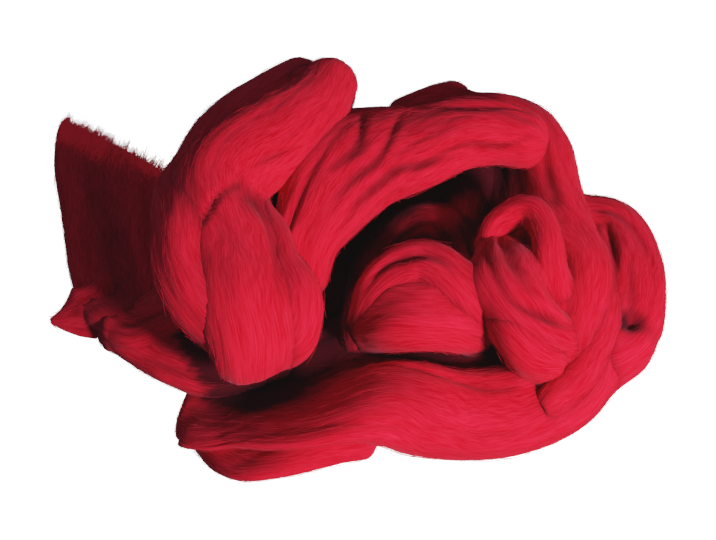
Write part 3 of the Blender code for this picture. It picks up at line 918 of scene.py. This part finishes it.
# -----------------------------------------------------------------------------
# The thin end at the front left
# The rope's other end is drawn out thin, rolled round and turned under the upright loop.
# -----------------------------------------------------------------------------

end_lip_rows = (
    (-146, -11, 4, 5, 4, -10),
    (-140, -11, 6, 14, 6, -14),
    (-134, -10, 8, 23, 7, -18),
    (-128, -7, 11, 25, 8, -20),
    (-124, -2, 14, 17, 8, -20),
    (-122, 4, 16, 8, 6, -20),
)
lay_rope("end_lip", end_lip_rows, seed=28)

end_roll_rows = (
    (-121, -11, 10, 16, 10, 6),
    (-112, -17, 13, 22, 12, 12),
    (-102, -22, 17, 28, 14, 14),
    (-92, -19, 22, 31, 15, 14),
    (-82, -16, 28, 31, 15, 14),
    (-73, -14, 34, 28, 14, 14),
)
end_roll_furrows = (
    ((5, 70, 1, 1.6), (30, 60, 1.6, 1.8), (55, 50, 1, 1.6)),
)
lay_rope("end_roll", end_roll_rows, end_roll_furrows, seed=29)

under_turn_rows = (
    (-119, -21, 8, 8, 10),
    (-109, -28, 9, 14, 13),
    (-99, -32, 10, 22, 15),
    (-87, -36, 12, 30, 16),
    (-76, -41, 13, 31, 16),
    (-64, -44, 14, 31, 16),
    (-51, -41, 15, 28, 16),
)
under_turn_furrows = (
    ((20, 40, 1, 2), (45, 50, 2, 2.4), (70, 50, 1, 2)),
)
lay_rope("under_turn", under_turn_rows, under_turn_furrows, seed=30)

# -----------------------------------------------------------------------------
# The turns under and behind
# The rest of the rope lies in flat turns on the floor and carries the heap; only their edges show
# between the outer turns and round the back.
# -----------------------------------------------------------------------------

# The steps of the hidden turns, as a multiple of the others'.
HIDDEN_COARSE = 1.4

hidden_turns = {
    "base_back": (
        (-80, 34, 15, 40, 32),
        (-62, 64, 15, 46, 33),
        (-20, 86, 15, 48, 33),
        (28, 90, 15, 48, 33),
        (70, 80, 15, 44, 33),
        (90, 46, 15, 42, 33),
        (98, 4, 15, 42, 33),
        (92, -34, 15, 40, 32),
    ),
    "base_left": (
        (-58, -32, 13, 34, 26),
        (-70, -14, 15, 42, 31),
        (-74, 12, 16, 46, 34),
        (-60, 38, 16, 46, 34),
    ),
    "base_middle": (
        (-40, -40, 11, 44, 24),
        (-30, 6, 11, 52, 24),
        (14, 18, 11, 58, 24),
        (58, 18, 14, 54, 30),
        (76, -16, 14, 52, 30),
        (44, -40, 11, 50, 24),
        (6, -38, 11, 50, 24),
        (-22, -44, 11, 42, 24),
    ),
    "loop_return": (
        (-42, -36, 40, 36, 28),
        (-62, -8, 41, 42, 30),
        (-58, 24, 42, 44, 30),
        (-42, 56, 42, 44, 30),
        (-26, 82, 44, 38, 28),
        (-19, 90, 54, 34, 26),
    ),
    "top_return": (
        (-14, 44, 18, 36, 28),
        (20, 56, 18, 38, 30),
        (58, 60, 18, 36, 30),
        (78, 56, 22, 30, 26),
    ),
}
for seed, (name, rows) in enumerate(hidden_turns.items(), start=32):
    lay_rope(name, rows, seed=seed, coarse=HIDDEN_COARSE)

# -----------------------------------------------------------------------------
# The torn sheet at the left
# The rope's end is spread out flat on the floor into a thin sheet of fleece, with rounded edges and
# one soft fold, and torn off across its far end.
# -----------------------------------------------------------------------------

SheetRow = namedtuple("SheetRow", "left_x left_y right_x right_y bottom thick")
torn_sheet_rows = (
    (-129, -14, -88, -15, 2, 18),
    (-137, 3, -90, 3, -1, 15),
    (-144, 27, -93, 27, -1, 13),
    (-151, 61, -96, 54, -1, 12),
    (-158, 95, -99, 75, -1, 10),
    (-158, 117, -101, 82, -1, 7),
    (-157, 121, -102, 85, 0, 5),
)
torn_sheet_furrows = (
    ((20, 122, -1.6, 5), (60, 130, -2.2, 5), (100, 138, -1.6, 4)),
    ((10, 84, 1.6, 8), (54, 96, 2.6, 8), (100, 104, 1.6, 8)),
    ((20, 60, -1, 4), (60, 66, -1.6, 4), (104, 62, -1.2, 4)),
)
TORN_SHEET_LIFT = 0.5


def sheet_frames(rows, step):
    """Rings at even steps along the sheet's middle line. Each ring's width runs level from the row's
    left edge to its right edge, which need not be square to the line."""
    points = table(SheetRow, rows) * MM
    knots = travelled((points[:, 0:2] + points[:, 2:4]) / 2)
    distance = even_steps(knots[-1], step)
    smooth = natural_spline(knots, points, distance)
    left, right = smooth[:, 0:2], smooth[:, 2:4]
    height = smooth[:, 4:5] + smooth[:, 5:6] / 2
    middle = np.hstack([(left + right) / 2, height]) - HEAP_MIDDLE
    half_span = np.hstack([(right - left) / 2, np.zeros((len(distance), 1))])
    wide = np.linalg.norm(half_span, axis=1)
    along = unit(np.gradient(middle, axis=0))
    over = np.tile((0.0, 0.0, 1.0), (len(distance), 1))
    return Frames(distance, middle, wide, smooth[:, 5] / 2, along, unit(half_span), over)


torn_frames = sheet_frames(torn_sheet_rows, STEP_ALONG)
torn_sheet = lay_turn("torn_sheet", torn_frames, torn_sheet_furrows, (), seed=41, lift=TORN_SHEET_LIFT)

# -----------------------------------------------------------------------------
# The torn edge's fibres
# Where the fleece was pulled apart its fibres end at all lengths, in small pointed locks of a few
# dozen each, and hold nothing but themselves.
# -----------------------------------------------------------------------------

FIBRE_RADIUS = 0.085 * MM
FIBRE_TAPER = 0.4  # power on the half sine that gives the radius along a fibre
FIBRE_TONE = 0.3  # range of the fibres' tones, in metres of the streaks' noise
ASKEW = (0.31, 0.17, 0.93)  # a direction along which hardly any fibre runs

# The locks: the share of the sheet's width along which they stand, the height of their roots over the
# floor, the way they point and their turns from it, their length, how wide and thick they are at the
# root, and how far behind the edge that lies.
LOCKS = 70
LOCK_FIBRES = 60
LOCK_RINGS = 6
LOCK_EDGE = 0.98
LOCK_HEIGHT = (1.5 * MM, 5.0 * MM)
LOCK_WAY, LOCK_TURN = (0.30, 0.90, 0.10), 0.20
LOCK_LENGTH = (3.0 * MM, 9.5 * MM)
LOCK_WIDTH = np.array((1.5, 1.1, 1.0)) * MM
LOCK_BACK = 4.0 * MM

# A lock's fibres: how far back into the sheet the farthest begin, which way, and how the rest are
# spread up to there; their length as a share of the lock's; their turn from its way and their bend;
# how far their ends draw together, and by what power; and their radius as a share of FIBRE_RADIUS.
INSIDE, INSIDE_SPREAD = 20.0 * MM, (1.0, 2.2)
INSIDE_WAY = np.array((0.05, -1.0, 0.30))
FIBRE_LENGTH = (0.55, 1.1)
FIBRE_TURN, FIBRE_BEND = 0.10, 0.8 * MM
DRAW, DRAW_POWER = 0.7, 1.5
TORN_THICKNESS = (0.9, 1.6)


def set_painted_shade(mesh, values):
    """Writes the painted shade at each point, 0 to 1: how far the wool's colour is darkened to stand in
    for shade.
    """
    attribute = mesh.attributes.new("painted_shade", "FLOAT", "POINT")
    attribute.data.foreach_set("value", values.astype(np.float32))


def fibre_mesh(name, paths, radius, tone, painted_shade):
    """Closed three-sided tubes along many paths at once. Path p has rings at its inner points, with the
    radius falling towards both ends, which are single points. The UV map in metres has u along the fibre
    and v the fibre's own tone, so that each one takes its own colour. Each takes one value of the
    painted shade, the darkening that stands in for shade."""
    count, rings = paths.shape[0], paths.shape[1] - 2
    tangent = unit(np.gradient(paths, axis=1))
    side = unit(np.cross(tangent, ASKEW))
    other = np.cross(tangent, side)
    share = np.sin(np.linspace(0, math.pi, rings + 2))[1:-1] ** FIBRE_TAPER
    turn = (np.arange(3) * 2 * math.pi / 3)[:, None]
    arm = np.cos(turn) * side[:, 1:-1, None, :] + np.sin(turn) * other[:, 1:-1, None, :]
    tube = paths[:, 1:-1, None, :] + arm * (radius[:, None] * share)[:, :, None, None]
    points = np.concatenate([tube.reshape(count, -1, 3), paths[:, :1], paths[:, -1:]], axis=1)
    per_fibre = 3 * rings + 2
    shift = (np.arange(count) * per_fibre)[:, None, None]
    quads, triangles = ((faces + shift).reshape(-1, faces.shape[1]) for faces in tube_faces(rings, 3))

    lengths = np.linalg.norm(np.diff(paths, axis=1), axis=2).mean(axis=0)
    reach = np.concatenate([[0], np.cumsum(lengths)])
    along = np.concatenate([np.repeat(reach[1:-1], 3), reach[:1], reach[-1:]])
    uv = np.stack([np.tile(along, count), np.repeat(tone, per_fibre)], axis=-1)
    corners = np.concatenate([quads.ravel(), triangles.ravel()])
    mesh = wool_mesh(name, points.reshape(-1, 3), quads, triangles, uv[corners])
    set_painted_shade(mesh, np.repeat(painted_shade, per_fibre))
    return mesh


def hairy_piece(name, paths, radius, tone, painted_shade, node, material):
    """Many fibres as one piece. They keep clear of the floor and cast no shadow."""
    paths = paths.copy()
    paths[:, :, 2] = np.maximum(paths[:, :, 2], FIBRE_RADIUS)
    obj = add_piece(name, fibre_mesh(name, paths, radius, tone, painted_shade), material, node)
    obj.visible_shadow = False


# The torn fibres' emission is a painted glow, standing in for light from the white paper coming through
# the thin wool.
torn_wool = wool_material("torn_fibre", relief=0.0, sheen=0.10, glow=0.13)


def torn_locks(edge, across, half_width, rng):
    """Paths of the fibres of all the locks. A fibre starts near its lock's root or farther back in the
    sheet and runs along the lock's way; its distance from the lock's middle shrinks by a power of the
    way gone, and it bends by a parabola."""
    place = np.sort(rng.uniform(-1.0, 1.0, LOCKS)) * half_width * LOCK_EDGE
    lock_root = edge + across * place[:, None]
    lock_root[:, 2] = rng.uniform(*LOCK_HEIGHT, LOCKS)
    lock_way = unit(np.array(LOCK_WAY) + rng.normal(0, LOCK_TURN, (LOCKS, 3)))
    lock_length = rng.uniform(*LOCK_LENGTH, LOCKS)
    lock = np.repeat(np.arange(LOCKS), LOCK_FIBRES)
    total = len(lock)
    spread = rng.normal(0, 1.0, (total, 3)) * LOCK_WIDTH
    inside = rng.beta(*INSIDE_SPREAD, total)[:, None] * INSIDE
    root = lock_root[lock] + spread - lock_way[lock] * LOCK_BACK + inside * INSIDE_WAY
    length = lock_length[lock] * rng.uniform(*FIBRE_LENGTH, total) + LOCK_BACK
    way = unit(lock_way[lock] + rng.normal(0, FIBRE_TURN, (total, 3)))
    t = np.linspace(0, 1, LOCK_RINGS)[None, :, None]
    bend = rng.normal(0, FIBRE_BEND, (total, 1, 3))
    straight = root[:, None] + way[:, None] * length[:, None, None] * t
    return straight - DRAW * spread[:, None] * t**DRAW_POWER + bend * t * (1 - t) * 2


rng = np.random.default_rng(51)
torn_paths = torn_locks(torn_frames.middle[-1], torn_frames.across[-1], torn_frames.wide[-1], rng)
torn_radius = rng.uniform(*TORN_THICKNESS, len(torn_paths)) * FIBRE_RADIUS
torn_tone = rng.uniform(0, FIBRE_TONE, len(torn_paths))
unshaded = np.zeros(len(torn_paths))
hairy_piece("torn_edge_fibres", torn_paths, torn_radius, torn_tone, unshaded, "torn_fringe", torn_wool)

# -----------------------------------------------------------------------------
# Where the turns touch, and the loose fibres all over
# Combed wool has no skin. Where two turns lie on each other their fibres cling and draw together, and
# everywhere fine ends and loops stand off the surface. Shade is painted into the wool's colour where
# turns touch, in the furrows and low in the heap.
# -----------------------------------------------------------------------------

CLING_REACH = 8.0 * MM
CLING_LIFT = 2.4 * MM
NO_TURN_NEAR = 50.0 * MM  # the gap given to a point with no other turn near it
LEAST_SIZE = 0.05  # keeps a point in the middle of a ring from dividing by zero

PLAN_CELL = 3.0 * MM
PLAN_CELLS = 128
PLAN_CORNER = -PLAN_CELL * PLAN_CELLS / 2
PLAN_REACH = 14  # cells
PLAN_WAYS = ((1, 0), (1, 1), (0, 1), (-1, 1), (-1, 0), (-1, -1), (0, -1), (1, -1))
LOWEST_WAYS = 4
PLAN_SMOOTHING = 2  # cells

# Painted shade, which darkens the wool's colour: it comes from the closeness of another turn, falling
# off over CONTACT_FALL; from a furrow's depth from FURROW_START on; and from how far below the heap
# around it lies, from SUNK_START on. Each rises to 1 over its measure, and the three are added by their
# weights, up to a limit.
CONTACT_WEIGHT, CONTACT_FALL = 0.55, 1.7 * MM
FURROW_WEIGHT, FURROW_START, FURROW_FULL = 0.65, 0.2 * MM, 3.2 * MM
SUNK_WEIGHT, SUNK_START, SUNK_FULL = 1.05, 10 * MM, 18 * MM
DARKEST = 0.96


def gap_to_turns(points, own):
    """Distance from each point to the nearest other turn's plain surface, below zero inside it. It is
    taken on the line from the nearest ring's middle: the distance from there, less the rounded
    rectangle's own reach on that line."""
    power = 2 / SQUARENESS
    gap = np.full(len(points), NO_TURN_NEAR)
    for name, rope in ropes.items():
        if name == own:
            continue
        rings = rope.frames
        reach = max(rings.wide.max(), rings.thick.max()) + CLING_REACH
        low, high = rings.middle.min(axis=0) - reach, rings.middle.max(axis=0) + reach
        near = np.flatnonzero(((points > low) & (points < high)).all(axis=1))
        if not len(near):
            continue
        some = points[near]
        squares = (rings.middle**2).sum(axis=1)[None, :] - 2 * some @ rings.middle.T
        ring = squares.argmin(axis=1)
        arm = some - rings.middle[ring]
        axes = ((rings.across, rings.wide), (rings.over, rings.thick), (rings.along, rings.thick))
        parts = [np.abs((arm * axis[ring]).sum(axis=1)) / half[ring] for axis, half in axes]
        size = (np.stack(parts) ** power).sum(axis=0) ** (1 / power)
        distance = np.linalg.norm(arm, axis=1) * (1 - 1 / np.maximum(size, LEAST_SIZE))
        gap[near] = np.minimum(gap[near], distance)
    return gap


def plan_cell(points):
    """Column and row of the plan grid's cell over which each point lies."""
    cell = np.clip(((points[..., :2] - PLAN_CORNER) / PLAN_CELL).astype(int), 0, PLAN_CELLS - 1)
    return cell[..., 0], cell[..., 1]


def height_around():
    """How high the heap stands around each cell of a plan grid. The highest top is looked for along
    each of eight ways, from a third of the reach up to the reach, and the four lowest of the eight are
    averaged, so that a place open to one side counts as open."""
    height = np.zeros((PLAN_CELLS, PLAN_CELLS))
    for rope in ropes.values():
        np.maximum.at(height, plan_cell(rope.points), rope.points[..., 2])
    looks = []
    for x, y in PLAN_WAYS:
        steps = range(PLAN_REACH // 3, PLAN_REACH)
        moved = [np.roll(height, (x * step, y * step), axis=(0, 1)) for step in steps]
        looks.append(np.max(moved, axis=0))
    walls = np.sort(looks, axis=0)[:LOWEST_WAYS].mean(axis=0)
    return smoothed(smoothed(walls, PLAN_SMOOTHING).T, PLAN_SMOOTHING).T


# The heap's height around each place, from which painted shade is laid low in the heap.
around = height_around()


def drawn_together(rope, name):
    """Points moved outwards near the other turns, by the lift times the square of their closeness, and
    the painted shade at each: darkening that stands in for the shade near other turns, in furrows and
    low in the heap."""
    shape = rope.points.shape
    gap = gap_to_turns(rope.points.reshape(-1, 3), name).reshape(shape[:2])
    closeness = np.clip(1 - np.abs(gap) / CLING_REACH, 0, 1)
    points = rope.points + rope.outward * (CLING_LIFT * closeness**2)[:, :, None]
    points[:, :, 2] = np.maximum(points[:, :, 2], 0.0)
    contact = np.exp(-np.maximum(gap, 0) / CONTACT_FALL)
    furrow = np.clip((-rope.relief - FURROW_START) / FURROW_FULL, 0, 1)
    sunk = np.clip((around[plan_cell(points)] - points[..., 2] - SUNK_START) / SUNK_FULL, 0, 1)
    painted_shade = CONTACT_WEIGHT * contact + FURROW_WEIGHT * furrow + SUNK_WEIGHT * sunk
    return points, np.clip(painted_shade, 0, DARKEST)


def sampled(grid, ring, column):
    """The grid's value at fractional rings and columns, mixed from the four nearest points. Past the
    last ring it is the value just before that."""
    rings, count = grid.shape[:2]
    ring = np.clip(ring, 0, rings - 1.001)
    i, j = np.floor(ring).astype(int), np.floor(column).astype(int)
    a, b = (ring - i)[..., None], (column - j)[..., None]
    j, k = j % count, (j + 1) % count
    before = grid[i, j] * (1 - b) + grid[i, k] * b
    after = grid[i + 1, j] * (1 - b) + grid[i + 1, k] * b
    return before * (1 - a) + after * a


# Loose fibres: the share that are free ends, the rest being loops; the lengths of both, in mm; how far
# they drift round the rope as a share of that, and bow to one side; and how high they stand, in mm.
FIBRE_RINGS = 7
FIBRES_PER_M2 = 7.0e4
END_SHARE = 0.45
END_LENGTH = (4, 11)
LOOP_LENGTH = (10, 34)
END_DRIFT, LOOP_DRIFT = 0.35, 0.10
BOW = 1.2 * MM
END_HEIGHT = (0.5, 2.4)
LOOP_HEIGHT, LOOP_TALLEST = 0.35, 1.4
END_RISE = 1.6
LEAST_RISE = 0.05 * MM
LOOSE_THICKNESS = (0.5, 1.1)

# They are left out where the painted shade is darkest, and where they would run into another turn.
DARK_LIMIT = 0.93
CLEARANCE = 0.2 * MM


def loose_fibres(rope, points, painted_shade, rng):
    """Paths of loose fibres on one turn, and the painted shade at each. A fibre starts at a random
    place, runs along the rope with a slight drift, and stands off the surface: a loop by a half sine, a
    free end by a rising power."""
    rings, count = points.shape[:2]
    whole_length = rope.distance[-1] - rope.distance[0]
    number = int(whole_length * rope.girth * FIBRES_PER_M2)
    column_width = rope.girth / count
    is_end = rng.uniform(size=number) < END_SHARE
    length = np.where(is_end, rng.uniform(*END_LENGTH, number), rng.uniform(*LOOP_LENGTH, number)) * MM
    way = rng.choice((-1.0, 1.0), number)
    t = np.linspace(0, 1, FIBRE_RINGS)[None, :]
    start = rng.uniform(0, rings - 1, number)
    step = whole_length / (rings - 1)
    drift = rng.normal(0, np.where(is_end, END_DRIFT, LOOP_DRIFT), number) * length / column_width
    bow = rng.normal(0, BOW, number) / column_width
    ring = start[:, None] + way[:, None] * t * length[:, None] / step
    column = rng.uniform(0, count, number)[:, None] + drift[:, None] * t + bow[:, None] * t * (1 - t) * 4
    place = sampled(points, ring, column)
    out = unit(sampled(rope.outward, ring, column))
    end_height = rng.uniform(*END_HEIGHT, number)
    loop_height = np.minimum(rng.exponential(LOOP_HEIGHT, number), LOOP_TALLEST)
    height = (np.where(is_end, end_height, loop_height) * MM)[:, None]
    rise = np.where(is_end[:, None], t**END_RISE, np.sin(math.pi * t)) * height + LEAST_RISE
    halfway = FIBRE_RINGS // 2
    # Each fibre takes the painted shade of the surface at its middle.
    depth = sampled(painted_shade[..., None], ring[:, halfway], column[:, halfway])[:, 0]
    return place + out * rise[:, :, None], depth


def lay_loose_fibres(group, names, seed):
    """The drawing together of a group of turns, and its loose fibres as one piece."""
    rng = np.random.default_rng(seed)
    kept, painted_shades = [], []
    for name in names:
        rope = ropes[name]
        points, painted_shade = drawn_together(rope, name)
        tips = rope.tips.copy()
        tips[:, 2] = np.maximum(tips[:, 2], 0.0)
        mesh = rope.obj.data
        vertices = np.vstack([points.reshape(-1, 3), tips])
        mesh.vertices.foreach_set("co", vertices.astype(np.float32).ravel())
        mesh.update()
        set_painted_shade(mesh, np.concatenate([painted_shade.ravel(), [painted_shade[0].mean(), painted_shade[-1].mean()]]))
        paths, depth = loose_fibres(rope, points, painted_shade, rng)
        clear = depth < DARK_LIMIT
        for ring in (1, FIBRE_RINGS // 2, FIBRE_RINGS - 1):
            clear &= gap_to_turns(paths[:, ring], name) > CLEARANCE
        kept.append(paths[clear])
        painted_shades.append(depth[clear])
    paths = np.concatenate(kept)
    radius = rng.uniform(*LOOSE_THICKNESS, len(paths)) * FIBRE_RADIUS
    tone = rng.uniform(0, FIBRE_TONE, len(paths))
    painted_shades = np.concatenate(painted_shades)
    hairy_piece("loose_fibres_" + group, paths, radius, tone, painted_shades, "roving", loose_wool)


loose_wool = wool_material("loose_fibre", relief=0.0, sheen=0.10)
fibre_groups = {
    "front": ("front_band", "under_flap"),
    "right": ("outer_band", "right_loop", "side_ridge"),
    "top": ("top_band", "back_peek"),
    "loop": ("loop_band", "left_roll", "right_roll"),
    "tent": ("tent_outer", "tent_middle", "tent_body"),
    "inner": ("inner_drop", "back_wall", "hook", "inner_fold", "fold_lobe"),
    "end": ("end_lip", "end_roll", "under_turn", "torn_sheet"),
    "under": ("base_back", "base_left", "base_middle", "loop_return", "top_return"),
}
for seed, (group, names) in enumerate(fibre_groups.items(), start=61):
    lay_loose_fibres(group, names, seed)
